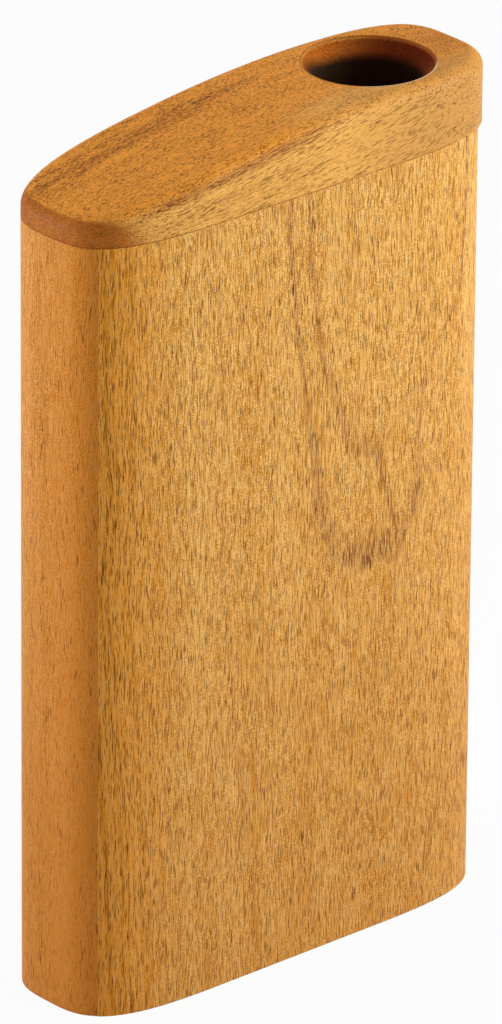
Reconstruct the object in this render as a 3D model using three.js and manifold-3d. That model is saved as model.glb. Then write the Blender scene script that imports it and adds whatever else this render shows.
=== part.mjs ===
// Travel didgeridoo: a flat, round-ended wooden case whose air path is folded up inside it.
// Lengths are in millimetres and +Z is up. The front board faces -Y and the mouth is at the +X end.
// The origin is on the ground, in the middle of the whole instrument.
import * as THREE from "three";
import { mergeVertices } from "three/addons/utils/BufferGeometryUtils.js";
import Module from "manifold-3d";

// Outside of the body, seen from above: straight sides that run out into full rounded ends
const body_width = 146;
const body_depth = 47.2;
const body_height = 229.4;
const end_length = 48;
const end_fullness = 3.29;

// Walls of the body
const board_thickness = 7.5;
const mouth_rail_width = 15.8;
const low_rail_width = 12;
const foot_thickness = 8;

// Labyrinth: thin partitions let into grooves in both boards, each stopped short at one end
const passage_count = 5;
const partition_thickness = 3;
const groove_depth = 2;
const turn_gap = 20;
const glue_gap = 0.3;

// Cap: tall at the mouth, with its top swept down to the low end
const cap_mouth_height = 20.6;
const cap_low_height = 6.7;
const cap_low_slope = 0.216;
const cap_land_length = 39.5;
const cap_overhang = 1.4;
const cap_round_over = 4;
const cap_eased_edge = 0.6;

// Mouth: a shallow cup that leads the lips into a round bore
const mouth_bore = 30;
const mouth_rim = 37;
const mouth_cup_depth = 4.5;
const mouth_cup_roundness = 0.35;

// Sound outlet: a round-ended slot through the foot, under the last passage
const outlet_width = 15;
const outlet_length = 27;

// How finely the curves are drawn
const end_steps = 14;
const straight_steps = 8;
const round_over_steps = 5;
const bore_steps = 48;
const cup_steps = 5;
const outlet_steps = 10;

// How far a cutting shape reaches past the face that it cuts
const cut_reach = 2;

// Sizes that follow from the ones above
const half_width = body_width / 2;
const half_depth = body_depth / 2;
const air_depth = body_depth - 2 * board_thickness;
const air_low_x = low_rail_width - half_width;
const air_mouth_x = half_width - mouth_rail_width;
const mouth_x = air_mouth_x - mouth_bore / 2;
const partition_count = passage_count - 1;
const narrow_air = air_mouth_x - air_low_x - mouth_bore - partition_count * partition_thickness;
const narrow_passage = narrow_air / partition_count;
const outlet_x = air_low_x + narrow_passage / 2;
const total_height = body_height + cap_mouth_height;

const wasm = await Module();
wasm.setup();

// Joining and cutting

function to_solid(geometry) {
  const bare = geometry.clone();
  bare.deleteAttribute("normal");
  bare.deleteAttribute("uv");
  const merged = mergeVertices(bare);
  const mesh = new wasm.Mesh({
    numProp: 3,
    vertProperties: new Float32Array(merged.attributes.position.array),
    triVerts: new Uint32Array(merged.index.array),
  });
  return new wasm.Manifold(mesh);
}

function to_geometry(solid) {
  const mesh = solid.getMesh();
  const geometry = new THREE.BufferGeometry();
  geometry.setAttribute("position", new THREE.BufferAttribute(new Float32Array(mesh.vertProperties), 3));
  geometry.setIndex(new THREE.BufferAttribute(new Uint32Array(mesh.triVerts), 1));
  geometry.computeVertexNormals();
  return geometry;
}

function cut(geometry, cutters) {
  let solid = to_solid(geometry);
  for (const cutter of cutters) {
    solid = solid.subtract(to_solid(cutter));
  }
  return to_geometry(solid);
}

// Outlines seen from above

// One point of a rounded end, at a turn of 0 on the tip and a quarter turn where the straight side starts.
// It is a full oval: |x|^n + |y|^n = 1, with n the fullness. The normal points out of the wood.
function end_point(turn, half_length) {
  const power = 2 / end_fullness;
  const along = Math.cos(turn) ** power;
  const across = Math.sin(turn) ** power;
  const normal = new THREE.Vector2(
    along ** (end_fullness - 1) / end_length,
    across ** (end_fullness - 1) / half_depth,
  ).normalize();
  return { x: half_length - end_length + end_length * along, y: half_depth * across, normal };
}

// The turn at which the rounded end passes the given distance from the middle plane
function turn_at(y) {
  return Math.asin((y / half_depth) ** (end_fullness / 2));
}

function mirrored(point, x_sign, y_sign) {
  const normal = new THREE.Vector2(point.normal.x * x_sign, point.normal.y * y_sign);
  return { x: point.x * x_sign, y: point.y * y_sign, normal };
}

// Points along part of a rounded end, both limits included
function end_points(from_turn, to_turn, half_length) {
  const steps = Math.max(2, Math.ceil((end_steps * Math.abs(to_turn - from_turn)) / (Math.PI / 2)));
  const points = [];
  for (let step = 0; step <= steps; step += 1) {
    const turn = from_turn + ((to_turn - from_turn) * step) / steps;
    points.push(end_point(turn, half_length));
  }
  return points;
}

// The whole outline, anticlockwise from the tip of the mouth end. Points n and -n mirror each other in y.
function whole_outline(half_length) {
  const side = end_points(0, Math.PI / 2, half_length);
  side[0].y = 0;
  const straight_half = half_length - end_length;
  for (let step = 1; step < straight_steps; step += 1) {
    const x = straight_half * (1 - (2 * step) / straight_steps);
    side.push({ x, y: half_depth, normal: new THREE.Vector2(0, 1) });
  }
  const low_end = end_points(Math.PI / 2, 0, half_length);
  low_end[low_end.length - 1].y = 0;
  for (const point of low_end) {
    side.push(mirrored(point, -1, 1));
  }
  const other_side = side.slice(1, -1).reverse();
  return side.concat(other_side.map((point) => mirrored(point, 1, -1)));
}

// Solids made by lofting and extruding

// A closed body through level rings that mirror in y, lowest ring first
function loft(rings) {
  const count = rings[0].length;
  const positions = [];
  for (const ring of rings) {
    for (const point of ring) {
      positions.push(point.x, point.y, point.z);
    }
  }
  const faces = [];
  for (let level = 0; level < rings.length - 1; level += 1) {
    for (let index = 0; index < count; index += 1) {
      const a = level * count + index;
      const b = level * count + ((index + 1) % count);
      faces.push(a, b, b + count, a, b + count, a + count);
    }
  }
  // The top and the underside are strips that run across from one side to the other
  const top = (rings.length - 1) * count;
  const half = count / 2;
  for (let index = 0; index < half; index += 1) {
    const left = index;
    const next_left = index + 1;
    const right = (count - index) % count;
    const next_right = (count - index - 1) % count;
    if (left !== right) {
      faces.push(top + left, top + next_left, top + right);
      faces.push(left, right, next_left);
    }
    if (next_left !== next_right) {
      faces.push(top + next_left, top + next_right, top + right);
      faces.push(next_left, right, next_right);
    }
  }
  const geometry = new THREE.BufferGeometry();
  geometry.setAttribute("position", new THREE.Float32BufferAttribute(positions, 3));
  geometry.setIndex(faces);
  geometry.computeVertexNormals();
  return geometry;
}

function upright(points, height) {
  const shape = new THREE.Shape(points.map((point) => new THREE.Vector2(point.x, point.y)));
  return new THREE.ExtrudeGeometry(shape, { depth: height, bevelEnabled: false });
}

function block(low, high) {
  const geometry = new THREE.BoxGeometry(high.x - low.x, high.y - low.y, high.z - low.z);
  geometry.translate((low.x + high.x) / 2, (low.y + high.y) / 2, (low.z + high.z) / 2);
  return geometry;
}

// Where the partitions stand

// The x of the mouth-side face of a partition, counted from 0 at the mouth
function partition_face(index) {
  return air_mouth_x - mouth_bore - index * (partition_thickness + narrow_passage);
}

// Partitions 0, 2 ... hang from the cap and the others stand on the foot, so the air turns at alternate ends
function partition_span(index) {
  const hangs = index % 2 === 0;
  return {
    low: hangs ? foot_thickness + turn_gap : foot_thickness,
    high: hangs ? body_height : body_height - turn_gap,
  };
}

// The groove for one partition in the board on the given side. A groove that meets the cap is open there.
function groove(index, side) {
  const face = partition_face(index);
  const span = partition_span(index);
  const open_top = span.high === body_height ? cut_reach : glue_gap;
  const inner = air_depth / 2 - cut_reach;
  const outer = air_depth / 2 + groove_depth;
  const low = new THREE.Vector3(face - partition_thickness - glue_gap, -outer, span.low - glue_gap);
  const high = new THREE.Vector3(face + glue_gap, -inner, span.high + open_top);
  if (side > 0) {
    low.y = inner;
    high.y = outer;
  }
  return block(low, high);
}

// The pieces

// Front (side -1) or back (side 1) board: full width, rounded over at both ends with the rails
function board(side) {
  const inner_turn = turn_at(air_depth / 2);
  const mouth_end = end_points(inner_turn, Math.PI / 2, half_width);
  const low_end = end_points(Math.PI / 2, inner_turn, half_width);
  const outline = mouth_end.concat(low_end.map((point) => mirrored(point, -1, 1)));
  const grooves = [];
  for (let index = 0; index < partition_count; index += 1) {
    grooves.push(groove(index, side));
  }
  const board_outline = outline.map((point) => mirrored(point, 1, side));
  return cut(upright(board_outline, body_height), grooves);
}

// End rail between the boards: flat inside, rounded outside. end is 1 at the mouth and -1 at the low end.
function end_rail(end, inner_x) {
  const inner_turn = turn_at(air_depth / 2);
  const outer = end_points(0, inner_turn, half_width);
  outer[0].y = 0;
  const near = outer.slice(1).reverse();
  const points = near.map((point) => mirrored(point, end, -1));
  points.push(...outer.map((point) => mirrored(point, end, 1)));
  points.push({ x: inner_x, y: air_depth / 2 });
  points.push({ x: inner_x, y: -air_depth / 2 });
  return upright(points, body_height);
}

function partition(index) {
  const face = partition_face(index);
  const span = partition_span(index);
  const reach = air_depth / 2 + groove_depth - glue_gap;
  return block(
    new THREE.Vector3(face - partition_thickness, -reach, span.low),
    new THREE.Vector3(face, reach, span.high),
  );
}

// The foot closes the passages between the boards and rails, and has the sound outlet in it
function foot() {
  const panel = block(
    new THREE.Vector3(air_low_x, -air_depth / 2, 0),
    new THREE.Vector3(air_mouth_x, air_depth / 2, foot_thickness),
  );
  const radius = outlet_width / 2;
  const half_run = outlet_length / 2 - radius;
  const slot = new THREE.Shape();
  slot.absarc(0, half_run, radius, 0, Math.PI, false);
  slot.absarc(0, -half_run, radius, Math.PI, 2 * Math.PI, false);
  const cutter = new THREE.ExtrudeGeometry(slot, {
    depth: foot_thickness + 2 * cut_reach,
    bevelEnabled: false,
    curveSegments: outlet_steps,
  });
  cutter.translate(outlet_x, 0, -cut_reach);
  return cut(panel, [cutter]);
}

// Height of the cap's top over the ground: level around the mouth, then a sweep down to the low end
const cap_half_length = half_width + cap_overhang / 2;
const cap_centre_x = cap_overhang / 2;
const sweep_start_x = half_width + cap_overhang - cap_land_length;
const sweep_length = sweep_start_x + half_width;
const sweep_drop = cap_mouth_height - cap_low_height;

function cap_top(x) {
  if (x >= sweep_start_x) {
    return total_height;
  }
  // A cubic that leaves the level land smoothly and reaches the low end at its own height and slope
  const share = (sweep_start_x - x) / sweep_length;
  const end_slope = (cap_low_slope * sweep_length) / sweep_drop;
  const square = 3 - end_slope;
  const cube = end_slope - 2;
  return total_height - sweep_drop * (square * share ** 2 + cube * share ** 3);
}

function cap_ring(inset, height_at) {
  return whole_outline(cap_half_length).map((point) => {
    const x = cap_centre_x + point.x - inset * point.normal.x;
    return { x, y: point.y - inset * point.normal.y, z: height_at(x) };
  });
}

// The cutter for the mouth: a straight bore that opens into the cup and runs on past the cap's two faces
function mouth_cutter() {
  const bore_radius = mouth_bore / 2;
  const rim_radius = mouth_rim / 2;
  const cup_floor = total_height - mouth_cup_depth;
  const profile = [
    new THREE.Vector2(0, body_height - cut_reach),
    new THREE.Vector2(bore_radius, body_height - cut_reach),
  ];
  for (let step = 0; step <= cup_steps; step += 1) {
    const share = step / cup_steps;
    const bulge = mouth_cup_roundness * Math.sin(Math.PI * share);
    const radius = bore_radius + (rim_radius - bore_radius) * share + bulge;
    profile.push(new THREE.Vector2(radius, cup_floor + mouth_cup_depth * share - bulge));
  }
  profile.push(new THREE.Vector2(rim_radius, total_height + cut_reach));
  profile.push(new THREE.Vector2(0, total_height + cut_reach));
  const cutter = new THREE.LatheGeometry(profile, bore_steps);
  cutter.rotateX(Math.PI / 2);
  cutter.translate(mouth_x, 0, 0);
  return cutter;
}

function cap() {
  const rings = [
    cap_ring(cap_eased_edge, () => body_height),
    cap_ring(0, () => body_height + cap_eased_edge),
  ];
  for (let step = 0; step <= round_over_steps; step += 1) {
    const turn = ((Math.PI / 2) * step) / round_over_steps;
    const inset = cap_round_over * (1 - Math.cos(turn));
    const drop = cap_round_over * (1 - Math.sin(turn));
    rings.push(cap_ring(inset, (x) => cap_top(x) - drop));
  }
  return cut(loft(rings), [mouth_cutter()]);
}

// Finishes, as the wood shows under its satin oil

function wood(name, color) {
  return new THREE.MeshStandardMaterial({ name, color, roughness: 0.5, metalness: 0 });
}

const board_wood = wood("board_wood", 0xcd9444);
const rail_wood = wood("rail_wood", 0xc47c35);
const cap_wood = wood("cap_wood", 0xc98a45);
const inner_wood = wood("inner_wood", 0xb98750);

// Putting the instrument together

const didgeridoo = new THREE.Group();

function add(name, geometry, material) {
  const mesh = new THREE.Mesh(geometry, material);
  mesh.name = name;
  didgeridoo.add(mesh);
}

add("front_board", board(-1), board_wood);
add("back_board", board(1), board_wood);
add("low_end_rail", end_rail(-1, air_low_x), rail_wood);
add("mouth_end_rail", end_rail(1, air_mouth_x), rail_wood);
for (let index = 0; index < partition_count; index += 1) {
  add(`partition_${index + 1}`, partition(index), inner_wood);
}
add("foot_panel", foot(), inner_wood);
add("mouth_cap", cap(), cap_wood);

// The cap stands out at the mouth end only, so the group moves back to keep the origin in the middle
didgeridoo.position.x = -cap_overhang / 2;

export default didgeridoo;
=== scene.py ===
"""Travel didgeridoo in oiled reddish hardwood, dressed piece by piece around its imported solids.

Lengths are in metres and +Z is up. The front board faces -Y and the mouth is at the +X end.
"""
import math

import bmesh
import bpy
from bpy.props import FloatProperty, FloatVectorProperty, IntProperty, PointerProperty
from mathutils import Matrix, Vector


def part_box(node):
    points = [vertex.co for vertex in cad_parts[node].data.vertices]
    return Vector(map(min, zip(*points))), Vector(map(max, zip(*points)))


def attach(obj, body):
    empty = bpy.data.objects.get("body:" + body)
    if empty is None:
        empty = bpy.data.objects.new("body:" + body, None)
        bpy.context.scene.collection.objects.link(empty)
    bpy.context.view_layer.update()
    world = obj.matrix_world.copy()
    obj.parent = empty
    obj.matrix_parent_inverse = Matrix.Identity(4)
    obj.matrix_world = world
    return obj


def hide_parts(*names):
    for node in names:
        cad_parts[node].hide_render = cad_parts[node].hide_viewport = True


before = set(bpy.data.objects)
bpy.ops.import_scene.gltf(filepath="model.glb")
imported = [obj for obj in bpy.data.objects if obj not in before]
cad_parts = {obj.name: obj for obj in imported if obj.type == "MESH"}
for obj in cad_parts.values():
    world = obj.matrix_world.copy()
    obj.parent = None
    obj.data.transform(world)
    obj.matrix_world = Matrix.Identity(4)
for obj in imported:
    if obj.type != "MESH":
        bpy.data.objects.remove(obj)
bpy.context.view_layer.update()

bl_info = {
    "name": "Travel Didgeridoo",
    "version": (1, 0, 0),
    "blender": (4, 5, 0),
    "location": "3D View > Sidebar > Didgeridoo",
    "description": "Builds a folded travel didgeridoo and its studio",
    "category": "Object",
}

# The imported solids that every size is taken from
FRONT_LOW, FRONT_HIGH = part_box("front_board")
LOW_RAIL_LOW, LOW_RAIL_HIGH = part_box("low_end_rail")
MOUTH_RAIL_LOW, MOUTH_RAIL_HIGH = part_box("mouth_end_rail")
CAP_LOW, CAP_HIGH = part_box("mouth_cap")
FOOT_LOW, FOOT_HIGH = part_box("foot_panel")
PARTITIONS = ("partition_1", "partition_2", "partition_3", "partition_4")

BODY_HALF_LENGTH = (MOUTH_RAIL_HIGH.x - LOW_RAIL_LOW.x) / 2
BODY_CENTRE_X = (MOUTH_RAIL_HIGH.x + LOW_RAIL_LOW.x) / 2
BODY_HALF_DEPTH = -FRONT_LOW.y
BODY_HEIGHT = FRONT_HIGH.z
AIR_HALF_DEPTH = -FRONT_HIGH.y
CAP_HALF_LENGTH = (CAP_HIGH.x - CAP_LOW.x) / 2
CAP_CENTRE_X = (CAP_HIGH.x + CAP_LOW.x) / 2
CAP_TOP = CAP_HIGH.z

MILLIMETRE = 0.001
# Two places that are closer than this count as the same
GRAZE = 0.01 * MILLIMETRE
# Points that are closer than this are welded into one
WELD = 0.0001 * MILLIMETRE
# Edges that turn more than this stay sharp to the eye
SHARP_ANGLE = math.radians(18)


def display_colour(red, green, blue):
    """A colour as a screen shows it, from 0 to 255, turned into the light that a material scatters."""
    def linear(value):
        share = value / 255
        return share / 12.92 if share <= 0.04045 else ((share + 0.055) / 1.055) ** 2.4
    return (linear(red), linear(green), linear(blue))


def length(name, description, millimetres):
    return FloatProperty(
        name=name,
        description=description,
        default=millimetres * MILLIMETRE,
        subtype="DISTANCE",
        unit="LENGTH",
    )


def colour(name, description, red, green, blue):
    return FloatVectorProperty(
        name=name,
        description=description,
        default=display_colour(red, green, blue),
        subtype="COLOR",
        size=3,
        min=0.0,
        max=1.0,
    )


class DidgeridooSizes(bpy.types.PropertyGroup):
    """Sizes of the case that its boxes alone don't tell"""

    end_length: length("End length", "Length of the case that the rounded end takes up", 48)
    end_fullness: FloatProperty(
        name="End fullness",
        description="How full the rounded ends are: 2 is an ellipse, more is squarer",
        default=3.29,
    )
    groove_depth: length("Groove depth", "Depth of the partition grooves in both boards", 2)
    glue_gap: length("Glue gap", "Room for glue round a partition in its groove", 0.3)
    eased_edge: length("Eased edge", "Softening of the sawn edges", 0.5)
    joint_edge: length("Joint edge", "Softening of the cap's lower edge at the seam", 0.6)
    round_over: length("Round over", "Radius of the cap's upper edge", 4)
    land_length: length("Land length", "Level part of the cap, from the mouth end", 39.5)
    low_height: length("Low height", "Height of the cap over the body at the low end", 6.7)
    low_slope: FloatProperty(
        name="Low slope",
        description="Slope of the cap's top where it meets the low end",
        default=0.216,
    )
    mouth_wall: length("Mouth wall", "Wood between the mouth bore and the end of the body", 15.8)
    bore: length("Bore", "Diameter of the mouth bore", 30)
    rim: length("Rim", "Diameter of the mouth at the top of its cup", 37)
    cup_depth: length("Cup depth", "Depth of the cup that leads into the bore", 4.5)
    throat_edge: length("Throat edge", "Radius between the cup's wall and the bore", 4)
    rim_edge: length("Rim edge", "Softening of the mouth's rim", 0.4)
    outlet_width: length("Outlet width", "Width of the sound outlet in the foot", 15)
    outlet_length: length("Outlet length", "Length of the sound outlet in the foot", 27)
    plan_steps: IntProperty(
        name="Plan steps",
        description="Points round the case's outline, a multiple of four",
        default=240,
    )
    round_steps: IntProperty(
        name="Round-over steps",
        description="Bands in the cap's rounded upper edge",
        default=10,
    )
    bore_steps: IntProperty(
        name="Bore steps",
        description="Facets round the mouth",
        default=128,
    )


class DidgeridooColours(bpy.types.PropertyGroup):
    """Colours of the wood under its oil, and the painted light and shade laid over it"""

    board: colour("Board", "Pale fibres of the two wide boards", 243, 194, 114)
    board_shade: colour("Board shade", "Dark fibres of the two wide boards", 197, 129, 24)
    board_line: colour("Board line", "Growth lines of the two wide boards", 150, 92, 54)
    # Painted shade on the boards' rounded corner at the low end, where the light turns away
    board_corner_painted_shade: colour("Board edge", "Deeper colour of a board towards the low end", 240, 150, 18)
    rail: colour("Rail", "Pale fibres of the end rails", 226, 160, 86)
    rail_shade: colour("Rail shade", "Dark fibres of the end rails", 180, 108, 2)
    # Painted shade on the rails towards the front joint, where the light turns away
    rail_joint_painted_shade: colour("Rail front", "Deeper colour of a rail towards the front joint", 214, 122, 8)
    # Painted shade: the case's wood is darkened towards the foot, where less light falls
    foot_painted_shade: colour("Foot shade", "Deeper colour of the case's wood towards the foot", 178, 106, 32)
    # Painted shade: the cap's level top takes a deeper, more orange colour than its upright sides, from
    # how the light falls on it
    cap_side: colour("Cap side", "Cap wood where it was cut upright along its grain", 238, 178, 88)
    cap_mouth_end: colour("Cap mouth end", "Cap wood at its mouth end, a little duller", 206, 151, 76)
    cap_top_painted_shade: colour("Cap top", "Cap wood where it was cut level", 250, 163, 56)
    cap_streak: colour("Cap streak", "Dark streaks that run through the cap", 146, 76, 6)
    end_grain: colour("End grain", "Wood cut across its grain, darker with oil", 190, 98, 16)
    # Painted highlight along the front edge of the mouth's rim
    rim_painted_highlight: colour("Pale rim", "Front edge of the mouth, rubbed pale", 255, 234, 202)
    # Painted light and shade in the mouth: the wall is painted lit on the low side, shaded towards the
    # mouth end and in shadow deep down in the bore
    mouth_painted_light: colour("Mouth, low side", "Wall of the mouth towards the low end", 186, 98, 22)
    mouth_wall: colour("Mouth wall", "Wall of the mouth towards the mouth end", 86, 10, 0)
    bore_painted_shadow: colour("Mouth, deep down", "Bore below the cup, dark with oil", 10, 2, 2)
    inner: colour("Inner", "Plain wood inside the air path", 196, 142, 84)
    inner_shade: colour("Inner shade", "Streaks of the wood inside", 168, 112, 60)
    pore: colour("Pore", "The open pores, filled with dark oil", 96, 40, 0)
    floor: colour("Floor", "The studio floor", 218, 218, 218)


class DidgeridooStudio(bpy.types.PropertyGroup):
    """Camera and lamps of the studio"""

    azimuth: FloatProperty(
        name="Azimuth",
        description="Direction that the camera stands in, anticlockwise from the front",
        default=math.radians(-41.36),
        subtype="ANGLE",
    )
    elevation: FloatProperty(
        name="Elevation",
        description="Height of the camera over the level, as an angle",
        default=math.radians(24.333),
        subtype="ANGLE",
    )
    roll: FloatProperty(
        name="Roll",
        description="Tilt of the camera about its own view",
        default=math.radians(0.447),
        subtype="ANGLE",
    )
    distance: length("Distance", "Distance from the camera to its target", 2986)
    target_height: length("Target height", "Height that the camera looks at", 126.84)
    lens: FloatProperty(name="Lens", description="Focal length in millimetres", default=381.18)
    key_power: FloatProperty(
        name="Key power",
        description="Power of the large lamp at the front right",
        default=6.0,
        subtype="POWER",
    )
    side_power: FloatProperty(
        name="Side power",
        description="Power of the lamp at the back left",
        default=4.4,
        subtype="POWER",
    )
    room_light: FloatProperty(
        name="Room light",
        description="Strength of the even light from the white room",
        default=0.63,
    )


# Outlines seen from above


class Plan:
    """A plan with straight sides that run out into full rounded ends."""

    def __init__(self, centre_x, half_length, sizes):
        self.centre_x = centre_x
        self.half_depth = BODY_HALF_DEPTH
        self.end_length = sizes.end_length
        self.straight_half = half_length - sizes.end_length
        self.fullness = sizes.end_fullness

    def place(self, point):
        """Where a point of the unit circle lies on the outline."""
        power = 2 / self.fullness
        along = self.straight_half + self.end_length * abs(point.x) ** power
        across = self.half_depth * abs(point.y) ** power
        x = self.on_side(along, point.x)
        return Vector((self.centre_x + x, self.on_side(across, point.y), 0.0))

    def on_side(self, distance, side):
        """The distance with the sign of the side, or 0 in the middle."""
        in_the_middle = abs(side) < 1e-6
        return 0.0 if in_the_middle else math.copysign(distance, side)

    def outward(self, point):
        """The level direction that points straight out of the wood at a point of the outline."""
        x = point.x - self.centre_x
        end_share = max(abs(x) - self.straight_half, 0.0) / self.end_length
        depth_share = abs(point.y) / self.half_depth
        power = self.fullness - 1
        slope_x = math.copysign(end_share ** power / self.end_length, x)
        slope_y = math.copysign(depth_share ** power / self.half_depth, point.y)
        return Vector((slope_x, slope_y, 0.0)).normalized()


# Mesh helpers


def of_type(elements, kind):
    return [element for element in elements if isinstance(element, kind)]


def all_geometry(mesh):
    return mesh.verts[:] + mesh.edges[:] + mesh.faces[:]


def cut_and_close(mesh, point, normal):
    """Saws a closed mesh through, keeps the side that the normal points away from and closes the cut."""
    result = bmesh.ops.bisect_plane(
        mesh, geom=all_geometry(mesh), plane_co=point, plane_no=normal, clear_outer=True
    )
    cut_edges = of_type(result["geom_cut"], bmesh.types.BMEdge)
    bmesh.ops.contextual_create(mesh, geom=cut_edges)
    bmesh.ops.recalc_face_normals(mesh, faces=mesh.faces[:])


def raise_block(mesh, height):
    """Raises a flat face into a closed upright block."""
    result = bmesh.ops.extrude_face_region(mesh, geom=mesh.faces[:], use_keep_orig=True)
    top = of_type(result["geom"], bmesh.types.BMVert)
    bmesh.ops.translate(mesh, verts=top, vec=(0.0, 0.0, height))
    bmesh.ops.recalc_face_normals(mesh, faces=mesh.faces[:])


def add_box(mesh, low, high):
    size = Matrix.Diagonal(high - low).to_4x4()
    bmesh.ops.create_cube(mesh, size=1.0, matrix=Matrix.Translation((low + high) / 2) @ size)


def is_level(edge):
    return abs(edge.verts[0].co.z - edge.verts[1].co.z) < GRAZE


def lies_at(edge, axis, distance):
    """Both ends of the edge lie at this distance from the middle, on either side."""
    return all(abs(abs(getattr(vert.co, axis)) - distance) < GRAZE for vert in edge.verts)


def case_blank(sizes):
    """The whole body as one upright block with the case's outline."""
    plan = Plan(BODY_CENTRE_X, BODY_HALF_LENGTH, sizes)
    mesh = bmesh.new()
    bmesh.ops.create_circle(mesh, cap_ends=True, segments=sizes.plan_steps, radius=1.0)
    for vert in mesh.verts:
        vert.co = plan.place(vert.co)
    raise_block(mesh, BODY_HEIGHT)
    return mesh


def ease_edges(mesh, wanted, offset, segments=2):
    """Softens each edge for which wanted(edge) is true."""
    edges = [edge for edge in mesh.edges if wanted(edge)]
    if not edges:
        raise RuntimeError("no edge was found to soften")
    bmesh.ops.bevel(
        mesh,
        geom=edges,
        offset=offset,
        offset_type="OFFSET",
        segments=segments,
        profile=0.5,
        affect="EDGES",
        material=-1,
        clamp_overlap=True,
    )


def finish_piece(name, mesh, node, material):
    """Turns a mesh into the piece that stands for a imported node."""
    bmesh.ops.remove_doubles(mesh, verts=mesh.verts[:], dist=WELD)
    bmesh.ops.recalc_face_normals(mesh, faces=mesh.faces[:])
    for face in mesh.faces:
        face.smooth = True
    for edge in mesh.edges:
        edge.smooth = edge.calc_face_angle(math.pi) < SHARP_ANGLE
    data = bpy.data.meshes.new(name)
    mesh.to_mesh(data)
    mesh.free()
    piece = bpy.data.objects.new(name, data)
    bpy.context.scene.collection.objects.link(piece)
    data.materials.append(material)
    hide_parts(node)
    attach(piece, "root")
    return piece


def carve(mesh, cutter):
    """Cuts one closed mesh out of another and gives the result."""
    parts = []
    for name, source in (("work", mesh), ("cutter", cutter)):
        data = bpy.data.meshes.new(name)
        source.to_mesh(data)
        source.free()
        part = bpy.data.objects.new(name, data)
        bpy.context.scene.collection.objects.link(part)
        parts.append(part)
    work, tool = parts
    modifier = work.modifiers.new("carve", "BOOLEAN")
    modifier.operation = "DIFFERENCE"
    modifier.solver = "EXACT"
    modifier.object = tool
    depsgraph = bpy.context.evaluated_depsgraph_get()
    carved = bmesh.new()
    carved.from_object(work, depsgraph)
    for part in parts:
        data = part.data
        bpy.data.objects.remove(part)
        bpy.data.meshes.remove(data)
    return carved


# Shader maths


class Value:
    """A number in a material. Plain sums on it add the Math nodes that work them out."""

    def __init__(self, nodes, socket):
        self.nodes = nodes
        self.socket = socket

    def maths(self, operation, *values):
        return self.nodes.node("ShaderNodeMath", {"operation": operation}, dict(enumerate(values)))

    def __add__(self, other):
        return self.maths("ADD", self, other)

    __radd__ = __add__

    def __sub__(self, other):
        return self.maths("SUBTRACT", self, other)

    def __rsub__(self, other):
        return self.maths("SUBTRACT", other, self)

    def __mul__(self, other):
        return self.maths("MULTIPLY", self, other)

    __rmul__ = __mul__

    def __truediv__(self, other):
        return self.maths("DIVIDE", self, other)

    def __pow__(self, other):
        return self.maths("POWER", self, other)

    def __abs__(self):
        return self.maths("ABSOLUTE", self)

    def exp(self):
        return self.maths("EXPONENT", self)

    def largest(self, other):
        return self.maths("MAXIMUM", self, other)


class Nodes:
    """The nodes of one material or of the world."""

    def __init__(self, tree):
        self.tree = tree
        self.tree.nodes.clear()

    def find(self, sockets, key):
        if isinstance(key, int):
            return sockets[key]
        for socket in sockets:
            if key in (socket.identifier, socket.name):
                return socket
        raise RuntimeError(f"no socket named {key}")

    def node(self, kind, settings, values, output=0):
        """Adds a node: its settings first, then a number, a colour or a link on each named socket."""
        node = self.tree.nodes.new(kind)
        for name, setting in settings.items():
            setattr(node, name, setting)
        for key, value in values.items():
            socket = self.find(node.inputs, key)
            if isinstance(value, Value):
                self.tree.links.new(value.socket, socket)
            else:
                socket.default_value = value
        return Value(self, self.find(node.outputs, output))

    def mix(self, factor, first, second):
        """A colour between two colours."""
        def solid(value):
            return value if isinstance(value, Value) else (*value, 1.0)
        values = {"Factor_Float": factor, "A_Color": solid(first), "B_Color": solid(second)}
        return self.node("ShaderNodeMix", {"data_type": "RGBA"}, values, "Result_Color")

    def vector(self, x, y, z):
        return self.node("ShaderNodeCombineXYZ", {}, {0: x, 1: y, 2: z})

    def split(self, vector):
        parts = self.node("ShaderNodeSeparateXYZ", {}, {0: vector})
        outputs = parts.socket.node.outputs
        return tuple(Value(self, output) for output in outputs)

    def noise(self, vector, detail=1.0, output="Fac"):
        values = {"Vector": vector, "Scale": 1.0, "Detail": detail, "Roughness": 0.5}
        return self.node("ShaderNodeTexNoise", {"noise_dimensions": "3D"}, values, output)

    def noise_along(self, value, detail=1.0):
        values = {"W": value, "Scale": 1.0, "Detail": detail, "Roughness": 0.5}
        return self.node("ShaderNodeTexNoise", {"noise_dimensions": "1D"}, values)

    def nearest_point(self, vector):
        """Distance to the nearest of many scattered points, about one to each unit of space."""
        settings = {"voronoi_dimensions": "3D", "feature": "F1"}
        values = {"Vector": vector, "Scale": 1.0, "Randomness": 1.0}
        return self.node("ShaderNodeTexVoronoi", settings, values, "Distance")

    def step(self, value, low, high):
        """0 below low, 1 above high and a smooth rise between them."""
        settings = {"interpolation_type": "SMOOTHSTEP"}
        return self.node("ShaderNodeMapRange", settings, {"Value": value, 1: low, 2: high})

    def seen(self):
        """1 where the eye meets a surface itself, in a reflection or through glass."""
        seen = self.ray_kind("Is Camera Ray").largest(self.ray_kind("Is Glossy Ray"))
        return seen.largest(self.ray_kind("Is Transmission Ray"))

    def ray_kind(self, name):
        return self.node("ShaderNodeLightPath", {}, {}, name)

    def close(self, kind, shader):
        """Ends the tree in its output node."""
        end = self.tree.nodes.new(kind)
        self.tree.links.new(shader.socket, end.inputs["Surface"])


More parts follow.
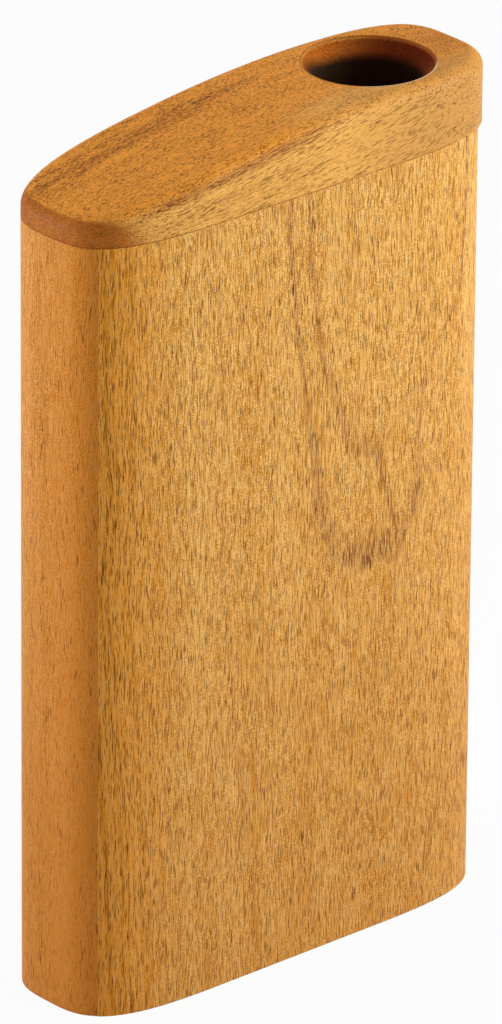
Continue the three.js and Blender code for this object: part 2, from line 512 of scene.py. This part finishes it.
class Paint(Nodes):
    """A material under construction."""

    def __init__(self, name):
        self.material = bpy.data.materials.new(name)
        self.material.use_nodes = True
        super().__init__(self.material.node_tree)

    def place(self, output):
        """Where the shaded point lies, or which way it faces, in the piece's own space."""
        return self.node("ShaderNodeTexCoord", {}, {}, output)

    def finish(self, values):
        """Closes the material with one plain surface shader."""
        shader = self.node("ShaderNodeBsdfPrincipled", {}, values, "BSDF")
        self.close("ShaderNodeOutputMaterial", shader)
        return self.material


# The wood


class Grain:
    """Places across and along the fibres of one piece of wood. The fibres sway a little as they run."""

    def __init__(self, paint, along, sway=1.2 * MILLIMETRE):
        self.paint = paint
        x, y, z = paint.split(paint.place("Object"))
        if along == "Z":
            first, second, run = x, y, z
        else:
            first, second, run = y, z, x
        slow = paint.vector(first * 16, second * 16, run * 8)
        drift_first, drift_second, _ = paint.split(paint.noise(slow, 1.0, "Color"))
        self.first = first + (drift_first - 0.5) * (2 * sway)
        self.second = second + (drift_second - 0.5) * (2 * sway)
        self.run = run

    def streaks(self, width, run, detail=1.0):
        """Noise drawn out along the fibres, with lumps of about the given width and run."""
        vector = self.paint.vector(self.first / width, self.second / width, self.run / run)
        return self.paint.noise(vector, detail)

    def grit(self):
        """Fine specks, about as long as they are wide, that break up the fibres."""
        return self.streaks(0.27 * MILLIMETRE, 0.3 * MILLIMETRE, 0.0)

    def pores(self, spacing, run, reach, bias=0.0):
        """Open pores, cut along as thin dashes with pointed ends.

        The reach is a dash's half size as a share of the spacing, and a bias adds to it.
        """
        vector = self.paint.vector(self.first / spacing, self.second / spacing, self.run / run)
        distance = self.paint.nearest_point(vector)
        return 1 - self.paint.step(distance - bias, reach * 0.6, reach)

    def streak(self, place, half_width):
        """One streak that follows the fibres, darkest along its middle."""
        return 1 - self.paint.step(abs(self.first - place), 0.0, half_width)


def oiled(paint, shade, pores, fibres, roughness=0.55):
    """A satin oiled surface with the pores sunk into it."""
    height = fibres * 0.25 - pores
    bump_values = {"Height": height, "Strength": 0.6, "Distance": 0.06 * MILLIMETRE}
    bump = paint.node("ShaderNodeBump", {}, bump_values)
    return paint.finish({
        "Base Color": shade,
        "Roughness": pores * 0.2 + (fibres * 0.1 + (roughness - 0.05)),
        "Specular IOR Level": 0.12,
        "Normal": bump,
    })


def growth_line(paint, radius, where, soft_side=2.4 * MILLIMETRE):
    """One dark growth line: it deepens slowly from the heart side and ends sharply on the other."""
    sharp_side = 0.8 * MILLIMETRE
    rise = paint.step(radius, where - soft_side, where)
    fall = paint.step(radius, where, where + sharp_side)
    return rise * (1 - fall)


def board_wood(name, colours, heart_x):
    """A flat-sawn board. Its growth lines make long nested arches that open towards the cap."""
    paint = Paint(name)
    grain = Grain(paint, "Z", 1.6 * MILLIMETRE)
    # The heart of the tree leans away from the board on its way down, and a little to one side
    lean_depth = 64 * MILLIMETRE
    lean_run = 135 * MILLIMETRE
    lean = (1 - ((grain.run - BODY_HEIGHT) / lean_run).exp()) * lean_depth
    sideways = (1 - paint.step(grain.run, 120 * MILLIMETRE, 165 * MILLIMETRE)) * (4.6 * MILLIMETRE)
    across = grain.first - heart_x + sideways
    # Halfway up, the layers pinch together on one side of the heart
    pinch_height = 157 * MILLIMETRE
    pinch = 1 - paint.step(abs(grain.run - pinch_height), 0.0, 30 * MILLIMETRE)
    across = across + across.largest(0.0) * (pinch + 0.2)
    inward = lean + (BODY_HALF_DEPTH - abs(grain.second))
    wobble = (grain.streaks(7 * MILLIMETRE, 30 * MILLIMETRE) - 0.5) * (2.4 * MILLIMETRE)
    # A fullness above 2 makes the arches fuller than a circle would
    fullness = 2.5
    radius = (abs(across) ** fullness + inward ** fullness) ** (1 / fullness) + wobble
    lines = 0.0
    for where, strength in ((37, 1.0), (62.5, 0.3), (90, 0.15)):
        lines = growth_line(paint, radius, where * MILLIMETRE) * strength + lines
    # The innermost line runs into the next one past the heart
    merge = paint.step(across, -4 * MILLIMETRE, 12 * MILLIMETRE)
    inner_radius = merge * (6.6 * MILLIMETRE) + 30 * MILLIMETRE
    lines = lines.largest(growth_line(paint, radius, inner_radius) * 0.9)
    # A second, narrower arch rises from the foot at the mouth end
    arch_across = grain.first - 62 * MILLIMETRE
    arch_up = grain.run * 0.45
    arch = (arch_across * arch_across + arch_up * arch_up) ** 0.5 + wobble
    lines = lines + growth_line(paint, arch, 18 * MILLIMETRE, 3 * MILLIMETRE) * 0.5
    # Away from the heart the layers stand on edge and show as close straight lines
    on_edge = paint.step(radius, 72 * MILLIMETRE, 100 * MILLIMETRE)
    layers = (paint.noise_along(radius / (1.4 * MILLIMETRE), 2.0) - 0.5) * (on_edge * 0.5 + 0.1)
    broad = grain.streaks(7 * MILLIMETRE, 120 * MILLIMETRE, 2.0)
    fibres = grain.streaks(0.26 * MILLIMETRE, 7 * MILLIMETRE, 1.0)
    grit = grain.grit()
    patches = grain.streaks(2.5 * MILLIMETRE, 16 * MILLIMETRE, 1.0)
    bias = lines * 0.075 + (patches - 0.5) * 0.07 + layers * 0.2
    short = grain.pores(0.34 * MILLIMETRE, 7.0 * MILLIMETRE, 0.3, bias)
    thin = grain.pores(0.25 * MILLIMETRE, 4.6 * MILLIMETRE, 0.34, bias)
    long = grain.pores(0.62 * MILLIMETRE, 17 * MILLIMETRE, 0.27, layers * 0.3) * on_edge
    tone = paint.step(broad * 0.1 + fibres * 0.45 + grit * 0.45 + layers * 0.6, 0.4, 0.6)
    # Painted shade: the board darkens round the corner at the low end, where the light turns away
    corner_x = BODY_CENTRE_X - BODY_HALF_LENGTH + 5 * MILLIMETRE
    corner = 1 - paint.step(grain.first, corner_x, corner_x + 26 * MILLIMETRE)
    shade = paint.mix(tone, colours.board, colours.board_shade)
    shade = paint.mix(lines * 0.3, shade, colours.board_line)
    shade = paint.mix(corner * 0.55, shade, colours.board_corner_painted_shade)
    shade = paint.mix(footward(paint, grain) * 0.35, shade, colours.foot_painted_shade)
    shade = paint.mix(thin * 0.9, shade, colours.pore)
    shade = paint.mix(short.largest(long * 0.65), shade, colours.pore)
    return oiled(paint, shade, short, fibres)


def footward(paint, grain):
    """Painted shade that deepens the upright pieces towards the foot, where less light falls: 1 there
    and 0 at the seam.
    """
    return 1 - paint.step(grain.run, 0.0, BODY_HEIGHT)


def rail_wood(name, colours):
    """Plainer, redder wood of the end rails, with few and short pores."""
    paint = Paint(name)
    grain = Grain(paint, "Z")
    broad = grain.streaks(5 * MILLIMETRE, 150 * MILLIMETRE, 2.0)
    fibres = grain.streaks(0.28 * MILLIMETRE, 5 * MILLIMETRE, 1.0)
    grit = grain.grit()
    patches = grain.streaks(4 * MILLIMETRE, 20 * MILLIMETRE, 1.0)
    bias = (patches - 0.5) * 0.3
    short = grain.pores(0.8 * MILLIMETRE, 9.0 * MILLIMETRE, 0.19, bias)
    thin = grain.pores(0.36 * MILLIMETRE, 4.0 * MILLIMETRE, 0.26, bias)
    tone = paint.step(broad * 0.15 + fibres * 0.4 + grit * 0.45, 0.42, 0.58)
    # Painted shade: the rail darkens towards the front joint, where the light turns away
    _, y, _ = paint.split(paint.place("Object"))
    joint_shade_mask = 1 - paint.step(y, -16 * MILLIMETRE, 12 * MILLIMETRE)
    shade = paint.mix(tone, colours.rail, colours.rail_shade)
    shade = paint.mix(joint_shade_mask * 0.5, shade, colours.rail_joint_painted_shade)
    shade = paint.mix(footward(paint, grain) * 0.55, shade, colours.foot_painted_shade)
    shade = paint.mix(thin * 0.6, shade, colours.pore)
    shade = paint.mix(short * 0.75, shade, colours.pore)
    return oiled(paint, shade, short, fibres)


def cap_wood(name, colours, mouth_x, mouth_radius):
    """The cap's grain runs from end to end, so both its ends show dark end grain."""
    paint = Paint(name)
    grain = Grain(paint, "X")
    # The fibres rise towards the mouth end, so the level top cuts their pores short
    uphill = grain.run.largest(0.0)
    grain.second = grain.second - (grain.run * 0.15 + uphill * uphill * 1.5)
    face_x, _, face_z = paint.split(paint.place("Normal"))
    broad = grain.streaks(3 * MILLIMETRE, 60 * MILLIMETRE, 2.0)
    fibres = grain.streaks(0.28 * MILLIMETRE, 4 * MILLIMETRE, 1.0)
    grit = grain.grit()
    patches = grain.streaks(2.0 * MILLIMETRE, 12 * MILLIMETRE, 1.0)
    x, y, _ = paint.split(paint.place("Object"))
    front = 1 - paint.step(y, -16 * MILLIMETRE, -6 * MILLIMETRE)
    beside_mouth = paint.step(x, -10 * MILLIMETRE, 15 * MILLIMETRE)
    # One dark layer comes out along the front side, just under the rounded edge
    layer_height = 245.8 * MILLIMETRE
    side_line = 1 - paint.step(abs(grain.second - layer_height), 0.0, 2.2 * MILLIMETRE)
    side_line = side_line * (1 - paint.step(y, -22.6 * MILLIMETRE, -20.5 * MILLIMETRE))
    side_line = side_line * (1 - beside_mouth * 0.6)
    back_line = grain.streak(11.5 * MILLIMETRE, 7 * MILLIMETRE) * paint.step(patches, 0.2, 0.6)
    streaks = side_line.largest(back_line * (1 - beside_mouth * 0.8) * 0.6)
    # Painted shade by the way a face points: the level top takes its deeper colour, except on the front
    # land beside the mouth
    level = paint.step(face_z, 0.2, 1.0) * (1 - front * beside_mouth * 0.7)
    low_end = paint.step(face_x * -1 - face_z * 0.3, 0.18, 0.44) * 0.85
    end = low_end.largest(paint.step(face_x, 0.6, 1.0) * 0.3)
    bias = (patches - 0.5) * 0.3 + streaks * 0.12
    # Pores show long on the upright sides and short on the top
    side_pores = grain.pores(0.32 * MILLIMETRE, 5.8 * MILLIMETRE, 0.32, bias)
    top_pores = grain.pores(0.38 * MILLIMETRE, 1.9 * MILLIMETRE, 0.34, bias)
    short = side_pores * (1 - level) + top_pores * level
    thin = grain.pores(0.28 * MILLIMETRE, 2.6 * MILLIMETRE, 0.34, bias)
    tone = paint.step(broad * 0.2 + fibres * 0.35 + grit * 0.45, 0.42, 0.58)
    mouthward = paint.step(x, 0.0, 55 * MILLIMETRE)
    side = paint.mix(mouthward, colours.cap_side, colours.cap_mouth_end)
    pale = paint.mix(level, side, colours.cap_top_painted_shade)
    # The land is a little darker past the mouth, but not at its front and back edges
    back_edge = paint.step(y, 3 * MILLIMETRE, 12 * MILLIMETRE)
    mid_depth = 1 - front - back_edge
    past_mouth = paint.step(x, 54 * MILLIMETRE, 64 * MILLIMETRE) * mid_depth * level
    # Painted light: the front land beside the mouth is lightened, to go with the painted shade on the
    # level top
    veil = tone * 0.46 - 0.05 + streaks * 0.42 + past_mouth * 0.28 - front * beside_mouth * 0.2
    shade = paint.mix(veil, pale, colours.cap_streak)
    shade = paint.mix(end, shade, paint.mix(tone, colours.end_grain, colours.cap_streak))
    shade = paint.mix(thin * 0.7, shade, colours.pore)
    shade = paint.mix(short * 0.95, shade, colours.pore)
    shade, inside = mouth_painted_shade(paint, shade, top_pores.largest(thin), colours, mouth_x, mouth_radius)
    return oiled(paint, shade, short, fibres, inside * 0.4 + 0.55)


def mouth_painted_shade(paint, shade, pores, colours, mouth_x, mouth_radius):
    """Painted shade on the mouth's wall, darker away from the low end, where the light falls least, and
    deeper down.
    """
    x, y, z = paint.split(paint.place("Object"))
    along = x - mouth_x
    radius = (along * along + y * y) ** 0.5
    depth = CAP_TOP - z
    inside = 1 - paint.step(radius, mouth_radius, mouth_radius + 0.4 * MILLIMETRE)
    inside = inside * paint.step(depth, 0.1 * MILLIMETRE, 1.2 * MILLIMETRE)
    # Painted shade: the wall darkens away from the low end and further down, where less light reaches
    away = paint.step(along, -0.3 * mouth_radius, 1.1 * mouth_radius)
    low_side = paint.step(along * -1, 0.0, 0.8 * mouth_radius)
    deep = paint.step(depth + low_side * (3 * MILLIMETRE), 2.4 * MILLIMETRE, 6.4 * MILLIMETRE)
    wall = paint.mix(away, colours.mouth_painted_light, colours.mouth_wall)
    wall = paint.mix(pores * 0.6, wall, colours.bore_painted_shadow)
    wall = paint.mix(deep, wall, colours.bore_painted_shadow)
    shade = paint.mix(inside * 0.95, shade, wall)
    # The rim gets a painted highlight at the front and a thin line of painted shade at the back
    off_rim = abs(radius - mouth_radius + 0.2 * MILLIMETRE)
    rim = 1 - paint.step(off_rim, 0.1 * MILLIMETRE, 0.4 * MILLIMETRE)
    rim = rim * (1 - paint.step(depth, 0.5 * MILLIMETRE, 1.0 * MILLIMETRE))
    backward = paint.step(y, -16 * MILLIMETRE, -11 * MILLIMETRE)
    rim_highlight_and_shade = paint.mix(backward, colours.rim_painted_highlight, colours.cap_streak)
    return paint.mix(rim * (0.95 - backward * 0.35), shade, rim_highlight_and_shade), inside


def inner_wood(name, colours, along):
    """Plain sanded wood that only the air meets."""
    paint = Paint(name)
    grain = Grain(paint, along)
    broad = grain.streaks(5 * MILLIMETRE, 80 * MILLIMETRE, 2.0)
    fibres = grain.streaks(0.6 * MILLIMETRE, 16 * MILLIMETRE, 2.0)
    short = grain.pores(0.6 * MILLIMETRE, 4.0 * MILLIMETRE, 0.28)
    tone = paint.step(broad * 0.6 + fibres * 0.4, 0.36, 0.66)
    shade = paint.mix(tone, colours.inner, colours.inner_shade)
    shade = paint.mix(short * 0.6, shade, colours.pore)
    return oiled(paint, shade, short, fibres, 0.65)


# The pieces


class DIDGERIDOO_OT_boards(bpy.types.Operator):
    """Makes the front and back boards, grooved inside for the partitions"""

    bl_idname = "didgeridoo.boards"
    bl_label = "Front and back boards"

    def execute(self, context):
        sizes = context.scene.didgeridoo_sizes
        colours = context.scene.didgeridoo_colours
        # Each board's side of the case, and how far from the middle the tree's heart lay, in millimetres
        for node, side, heart in (("front_board", -1, 29.3), ("back_board", 1, -16)):
            mesh = case_blank(sizes)
            cut_and_close(mesh, (0, side * AIR_HALF_DEPTH, 0), (0, -side, 0))
            grooved = carve(mesh, self.grooves(side, sizes))
            half_depth = AIR_HALF_DEPTH + sizes.groove_depth

            def is_rim(edge):
                return is_level(edge) and not all(
                    abs(vert.co.y) < half_depth + GRAZE and FOOT_LOW.x < vert.co.x < FOOT_HIGH.x
                    or abs(abs(vert.co.y) - AIR_HALF_DEPTH) < GRAZE
                    for vert in edge.verts
                )

            ease_edges(grooved, is_rim, sizes.eased_edge)
            material = board_wood(node + "_wood", colours, heart * MILLIMETRE)
            finish_piece(node + "_oiled", grooved, node, material)
        return {"FINISHED"}

    def grooves(self, side, sizes):
        """The room that the partitions take in one board. Hanging ones slide in from the top."""
        mesh = bmesh.new()
        gap = sizes.glue_gap
        for node in PARTITIONS:
            low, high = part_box(node)
            hangs = high.z > BODY_HEIGHT - gap
            half_depth = AIR_HALF_DEPTH + sizes.groove_depth
            near = min(side * sizes.groove_depth, side * half_depth)
            far = max(side * sizes.groove_depth, side * half_depth)
            top = BODY_HEIGHT + MILLIMETRE if hangs else high.z + gap
            bottom = low.z - gap
            add_box(mesh, Vector((low.x - gap, near, bottom)), Vector((high.x + gap, far, top)))
        return mesh


class DIDGERIDOO_OT_rails(bpy.types.Operator):
    """Makes the two end rails, rounded outside and flat inside"""

    bl_idname = "didgeridoo.rails"
    bl_label = "End rails"

    def execute(self, context):
        sizes = context.scene.didgeridoo_sizes
        colours = context.scene.didgeridoo_colours
        material = rail_wood("end_rail_wood", colours)
        rails = (("low_end_rail", LOW_RAIL_HIGH.x, 1), ("mouth_end_rail", MOUTH_RAIL_LOW.x, -1))
        for node, inner_x, inward in rails:
            mesh = case_blank(sizes)
            cut_and_close(mesh, (0, AIR_HALF_DEPTH, 0), (0, 1, 0))
            cut_and_close(mesh, (0, -AIR_HALF_DEPTH, 0), (0, -1, 0))
            cut_and_close(mesh, (inner_x, 0, 0), (inward, 0, 0))

            def is_rim(edge):
                joint = lies_at(edge, "y", AIR_HALF_DEPTH) or lies_at(edge, "x", abs(inner_x))
                return is_level(edge) and not joint

            ease_edges(mesh, is_rim, sizes.eased_edge)
            finish_piece(node + "_oiled", mesh, node, material)
        return {"FINISHED"}


class DIDGERIDOO_OT_partitions(bpy.types.Operator):
    """Makes the partitions that fold the air path"""

    bl_idname = "didgeridoo.partitions"
    bl_label = "Partitions"

    def execute(self, context):
        colours = context.scene.didgeridoo_colours
        material = inner_wood("partition_wood", colours, "Z")
        for node in PARTITIONS:
            mesh = bmesh.new()
            add_box(mesh, *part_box(node))
            ease_edges(mesh, lambda edge: True, 0.2 * MILLIMETRE)
            finish_piece(node + "_sanded", mesh, node, material)
        return {"FINISHED"}


class DIDGERIDOO_OT_foot(bpy.types.Operator):
    """Makes the foot panel with the sound outlet in it"""

    bl_idname = "didgeridoo.foot"
    bl_label = "Foot panel"

    def execute(self, context):
        sizes = context.scene.didgeridoo_sizes
        colours = context.scene.didgeridoo_colours
        mesh = bmesh.new()
        add_box(mesh, FOOT_LOW, FOOT_HIGH)
        # The outlet lies in the middle of the last passage
        outlet_x = (FOOT_LOW.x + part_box(PARTITIONS[-1])[0].x) / 2
        carved = carve(mesh, self.slot(outlet_x, sizes))
        reach = Vector((sizes.outlet_width, sizes.outlet_length)) / 2

        def is_outlet(edge):
            inside = all(
                abs(vert.co.x - outlet_x) < reach.x + GRAZE and abs(vert.co.y) < reach.y + GRAZE
                for vert in edge.verts
            )
            return is_level(edge) and inside

        ease_edges(carved, is_outlet, sizes.eased_edge, 3)
        material = inner_wood("foot_wood", colours, "X")
        finish_piece("foot_panel_sanded", carved, "foot_panel", material)
        return {"FINISHED"}

    def slot(self, outlet_x, sizes):
        """A round-ended bar, to cut the outlet with."""
        radius = sizes.outlet_width / 2
        half_run = sizes.outlet_length / 2 - radius
        end_facets = 72
        mesh = bmesh.new()
        bmesh.ops.create_circle(mesh, cap_ends=True, segments=end_facets, radius=radius)
        for vert in mesh.verts:
            if abs(vert.co.y) > GRAZE:
                vert.co.y += math.copysign(half_run, vert.co.y)
        bmesh.ops.translate(mesh, verts=mesh.verts[:], vec=(outlet_x, 0.0, -FOOT_HIGH.z))
        raise_block(mesh, 3 * FOOT_HIGH.z)
        return mesh


class DIDGERIDOO_OT_cap(bpy.types.Operator):
    """Makes the cap: a swept top, a rounded-over edge and the cupped mouth"""

    bl_idname = "didgeridoo.cap"
    bl_label = "Mouth cap"

    def execute(self, context):
        sizes = context.scene.didgeridoo_sizes
        colours = context.scene.didgeridoo_colours
        carved = carve(self.swept_block(sizes), self.mouth(sizes))
        mouth_radius = sizes.rim / 2 + sizes.rim_edge
        material = cap_wood("mouth_cap_wood", colours, self.mouth_x(sizes), mouth_radius)
        finish_piece("mouth_cap_oiled", carved, "mouth_cap", material)
        return {"FINISHED"}

    def top_height(self, x, sizes):
        """Level round the mouth, then one smooth sweep down to the low end."""
        start_x = CAP_HIGH.x - sizes.land_length
        run = start_x - CAP_LOW.x
        drop = CAP_TOP - CAP_LOW.z - sizes.low_height
        share = max(start_x - x, 0.0) / run
        end_slope = sizes.low_slope * run / drop
        return CAP_TOP - drop * ((3 - end_slope) * share ** 2 + (end_slope - 2) * share ** 3)

    def rings(self, sizes):
        """How far in from the outline each ring lies, and how far over the seam or under the top."""
        support = 0.4 * MILLIMETRE
        joint_steps = 3
        rings = []
        for step in range(joint_steps + 1):
            turn = math.pi / 2 * step / joint_steps
            rise = sizes.joint_edge * (1 - math.cos(turn))
            rings.append((sizes.joint_edge * (1 - math.sin(turn)), rise, None))
        rings.append((0.0, None, sizes.round_over + support))
        for step in range(sizes.round_steps + 1):
            turn = math.pi / 2 * step / sizes.round_steps
            inset = sizes.round_over * (1 - math.cos(turn))
            rings.append((inset, None, sizes.round_over * (1 - math.sin(turn))))
        rings.append((sizes.round_over + support, None, 0.0))
        return rings

    def swept_block(self, sizes):
        plan = Plan(CAP_CENTRE_X, CAP_HALF_LENGTH, sizes)
        mesh = bmesh.new()
        bmesh.ops.create_circle(mesh, segments=sizes.plan_steps, radius=1.0)
        for vert in mesh.verts:
            vert.co = plan.place(vert.co)
        # The straight sides get more points, because the top sweeps down along them
        side_cuts = 14
        sides = [edge for edge in mesh.edges if edge.calc_length() > sizes.end_length / 4]
        bmesh.ops.subdivide_edges(mesh, edges=sides, cuts=side_cuts)
        outline = mesh.verts.layers.float_vector.new("outline")
        outward = mesh.verts.layers.float_vector.new("outward")
        for vert in mesh.verts:
            vert[outline] = vert.co
            vert[outward] = plan.outward(vert.co)
        ring_edges = mesh.edges[:]
        ring_verts = mesh.verts[:]
        for number, (inset, rise, drop) in enumerate(self.rings(sizes)):
            if number > 0:
                result = bmesh.ops.extrude_edge_only(mesh, edges=ring_edges)
                ring_edges = of_type(result["geom"], bmesh.types.BMEdge)
                ring_verts = of_type(result["geom"], bmesh.types.BMVert)
            for vert in ring_verts:
                place = vert[outline] - vert[outward] * inset
                if rise is None:
                    place.z = self.top_height(place.x, sizes) - drop
                else:
                    place.z = CAP_LOW.z + rise
                vert.co = place
            if number == 0:
                self.close_across(mesh, ring_edges)
        self.close_across(mesh, ring_edges)
        bmesh.ops.recalc_face_normals(mesh, faces=mesh.faces[:])
        return mesh

    def close_across(self, mesh, ring_edges):
        """Closes a ring with faces that run straight from the front side to the back."""
        tips = [edge for edge in ring_edges if any(abs(vert.co.y) < GRAZE for vert in edge.verts)]
        sides = [edge for edge in ring_edges if edge not in tips]
        bridged = bmesh.ops.bridge_loops(mesh, edges=sides)
        ends = [edge for edge in bridged["edges"] if edge.is_boundary]
        bmesh.ops.holes_fill(mesh, edges=tips + ends, sides=3)

    def mouth_x(self, sizes):
        return MOUTH_RAIL_HIGH.x - sizes.mouth_wall - sizes.bore / 2

    def mouth(self, sizes):
        """A turned plug with the shape of the bore, the cup and its softened rim."""
        bore = sizes.bore / 2
        rim = sizes.rim / 2
        edge = sizes.rim_edge
        flare = math.atan2(rim - bore, sizes.cup_depth)
        throat_low = CAP_TOP - sizes.cup_depth - sizes.throat_edge * math.tan(flare / 2)
        below = CAP_LOW.z - sizes.cup_depth
        above = CAP_TOP + sizes.cup_depth
        profile = [(0.0, below), (bore, below)]
        throat_steps = 8
        for step in range(throat_steps + 1):
            turn = flare * step / throat_steps
            height = throat_low + sizes.throat_edge * math.sin(turn)
            profile.append((bore + sizes.throat_edge * (1 - math.cos(turn)), height))
        rim_steps = 3
        for step in range(rim_steps + 1):
            turn = math.pi / 2 * step / rim_steps
            radius = rim + edge * (1 - math.cos(turn))
            profile.append((radius, CAP_TOP - edge * (1 - math.sin(turn))))
        profile.append((rim + edge, above))
        profile.append((0.0, above))
        centre_x = self.mouth_x(sizes)
        mesh = bmesh.new()
        verts = [mesh.verts.new((centre_x + radius, 0.0, height)) for radius, height in profile]
        edges = [mesh.edges.new(pair) for pair in zip(verts, verts[1:])]
        bmesh.ops.spin(
            mesh,
            geom=verts + edges,
            cent=(centre_x, 0.0, 0.0),
            axis=(0.0, 0.0, 1.0),
            angle=math.tau,
            steps=sizes.bore_steps,
            use_merge=True,
        )
        bmesh.ops.remove_doubles(mesh, verts=mesh.verts[:], dist=10 * WELD)
        bmesh.ops.recalc_face_normals(mesh, faces=mesh.faces[:])
        return mesh


# The studio


class DIDGERIDOO_OT_studio(bpy.types.Operator):
    """Makes the floor, the lamps, the white room and the camera"""

    bl_idname = "didgeridoo.studio"
    bl_label = "Studio"

    def execute(self, context):
        studio = context.scene.didgeridoo_studio
        self.floor(context.scene)
        self.room(context.scene, studio)
        self.lamp("front_right_lamp", azimuth=49, elevation=24, size=0.5, power=studio.key_power)
        self.lamp("back_left_lamp", azimuth=-131, elevation=12, size=0.36, power=studio.side_power)
        self.camera(context.scene, studio)
        return {"FINISHED"}

    def floor(self, scene):
        """Pale paper that reads as white and keeps some of the object's shadow."""
        reach = 8.0
        whiteness = 0.94
        mesh = bmesh.new()
        bmesh.ops.create_grid(mesh, x_segments=8, y_segments=8, size=reach)
        data = bpy.data.meshes.new("floor")
        mesh.to_mesh(data)
        mesh.free()
        floor = bpy.data.objects.new("floor", data)
        scene.collection.objects.link(floor)
        paint = Paint("floor_paper")
        pale = (*scene.didgeridoo_colours.floor, 1.0)
        paper = paint.node("ShaderNodeBsdfDiffuse", {}, {"Color": pale}, "BSDF")
        white = paint.node("ShaderNodeEmission", {}, {"Strength": 1.0}, "Emission")
        factor = paint.seen() * whiteness
        shader = paint.node("ShaderNodeMixShader", {}, {0: factor, 1: paper, 2: white})
        paint.close("ShaderNodeOutputMaterial", shader)
        data.materials.append(paint.material)

    def room(self, scene, studio):
        """Even light from all round. Seen directly or in a reflection, the room is white."""
        scene.world = bpy.data.worlds.new("white_room")
        scene.world.use_nodes = True
        nodes = Nodes(scene.world.node_tree)
        light = nodes.node("ShaderNodeBackground", {}, {"Strength": studio.room_light})
        white = nodes.node("ShaderNodeBackground", {}, {"Color": (1, 1, 1, 1), "Strength": 1.0})
        shader = nodes.node("ShaderNodeMixShader", {}, {0: nodes.seen(), 1: light, 2: white})
        nodes.close("ShaderNodeOutputWorld", shader)
        scene.view_settings.view_transform = "Standard"

    def direction(self, azimuth, elevation):
        """Points from the object towards a lamp or the camera. Azimuth 0 is straight in front."""
        level = math.cos(elevation)
        return Vector((math.sin(azimuth) * level, -math.cos(azimuth) * level, math.sin(elevation)))

    def lamp(self, name, azimuth, elevation, size, power):
        """A square lamp that faces the middle of the case. Its angles are in degrees."""
        distance = 0.85
        data = bpy.data.lights.new(name, "AREA")
        data.shape = "SQUARE"
        data.size = size
        data.energy = power
        lamp = bpy.data.objects.new(name, data)
        bpy.context.scene.collection.objects.link(lamp)
        towards = self.direction(math.radians(azimuth), math.radians(elevation))
        lamp.location = Vector((0.0, 0.0, BODY_HEIGHT / 2)) + towards * distance
        lamp.rotation_mode = "QUATERNION"
        lamp.rotation_quaternion = towards.to_track_quat("Z", "Y")

    def camera(self, scene, studio):
        """Stands where the studio's angles say, tilted by its roll."""
        data = bpy.data.cameras.new("camera")
        data.lens = studio.lens
        camera = bpy.data.objects.new("camera", data)
        scene.collection.objects.link(camera)
        back = self.direction(studio.azimuth, studio.elevation)
        level = Vector((math.cos(studio.azimuth), math.sin(studio.azimuth), 0.0))
        upright = back.cross(level)
        roll = studio.roll
        right = level * math.cos(roll) + upright * math.sin(roll)
        up = back.cross(right)
        turned = Matrix((right, up, back)).transposed()
        camera.location = Vector((0.0, 0.0, studio.target_height)) + back * studio.distance
        camera.rotation_mode = "QUATERNION"
        camera.rotation_quaternion = turned.to_quaternion()
        scene.camera = camera


class DIDGERIDOO_PT_panel(bpy.types.Panel):
    """Lists the steps that build the instrument"""

    bl_idname = "DIDGERIDOO_PT_panel"
    bl_label = "Travel Didgeridoo"
    bl_space_type = "VIEW_3D"
    bl_region_type = "UI"
    bl_category = "Didgeridoo"

    def draw(self, context):
        for step in STEPS:
            self.layout.operator(step.bl_idname)
        for settings in ("didgeridoo_sizes", "didgeridoo_colours", "didgeridoo_studio"):
            group = getattr(context.scene, settings)
            column = self.layout.column()
            for name in type(group).__annotations__:
                column.prop(group, name)


STEPS = (
    DIDGERIDOO_OT_boards,
    DIDGERIDOO_OT_rails,
    DIDGERIDOO_OT_partitions,
    DIDGERIDOO_OT_foot,
    DIDGERIDOO_OT_cap,
    DIDGERIDOO_OT_studio,
)
GROUPS = (DidgeridooSizes, DidgeridooColours, DidgeridooStudio)


def register():
    for kind in (*GROUPS, *STEPS, DIDGERIDOO_PT_panel):
        bpy.utils.register_class(kind)
    bpy.types.Scene.didgeridoo_sizes = PointerProperty(type=DidgeridooSizes)
    bpy.types.Scene.didgeridoo_colours = PointerProperty(type=DidgeridooColours)
    bpy.types.Scene.didgeridoo_studio = PointerProperty(type=DidgeridooStudio)


def unregister():
    del bpy.types.Scene.didgeridoo_studio
    del bpy.types.Scene.didgeridoo_colours
    del bpy.types.Scene.didgeridoo_sizes
    for kind in reversed((*GROUPS, *STEPS, DIDGERIDOO_PT_panel)):
        bpy.utils.unregister_class(kind)


def main():
    register()
    bpy.ops.didgeridoo.boards()
    bpy.ops.didgeridoo.rails()
    bpy.ops.didgeridoo.partitions()
    bpy.ops.didgeridoo.foot()
    bpy.ops.didgeridoo.cap()
    bpy.ops.didgeridoo.studio()


if __name__ == "__main__":
    main()
